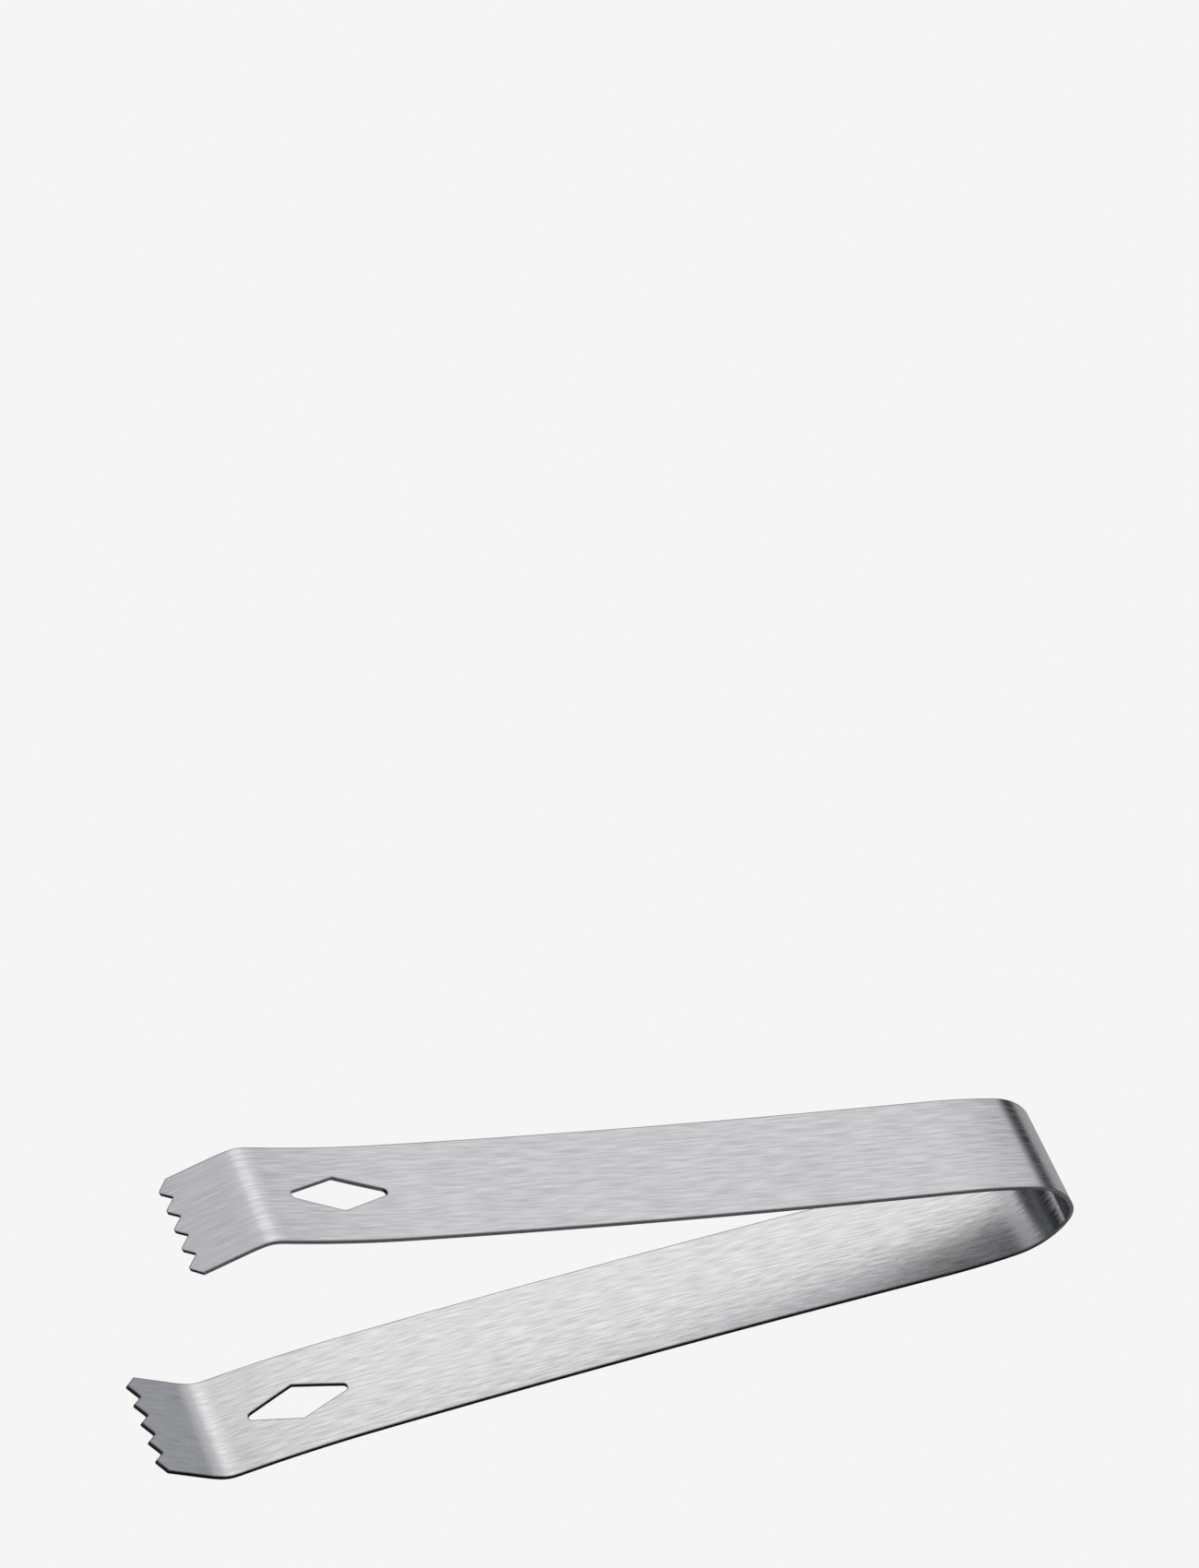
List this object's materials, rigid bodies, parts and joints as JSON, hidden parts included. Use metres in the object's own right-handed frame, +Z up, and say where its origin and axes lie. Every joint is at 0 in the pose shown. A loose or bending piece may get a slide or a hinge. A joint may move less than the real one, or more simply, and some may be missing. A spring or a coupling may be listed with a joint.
{
  "type": "ice tongs",
  "caption": "Spring-steel tongs bent from one strip: a bow joins two arms, each with a diamond cut-out and an inward claw with teeth for gripping ice.",
  "frame": {"origin": "middle of the footprint, on the surface that the lower arm lies on", "axes": "+X from the claws towards the bow, +Y along the strip's width, +Z up, the way the upper arm stands open"},
  "size_m": [0.161, 0.02, 0.0604],
  "materials": {
    "brushed_steel": "stainless strip, fine brushed grain along its length, cut edges deburred"
  },
  "bodies": {
    "lower_arm": {"lower_arm": "brushed_steel"},
    "bow": {"bow": "brushed_steel"},
    "upper_arm": {"upper_arm": "brushed_steel"}
  },
  "joints": [
    {"name": "lower_flex", "type": "hinge", "parent": "lower_arm", "child": "bow", "pos_m": [0.0532, 0, 0.0006], "axis": [0, -1, 0], "range_deg": [-2, 10], "stiffness_Nm_per_rad": 2.4},
    {"name": "upper_flex", "type": "hinge", "parent": "bow", "child": "upper_arm", "pos_m": [0.05666, 0, 0.02301], "axis": [0, -1, 0], "range_deg": [-2, 10], "stiffness_Nm_per_rad": 2.4}
  ],
  "couplings": [
    {"joint": "upper_flex", "follows": "lower_flex", "ratio": 1}
  ]
}
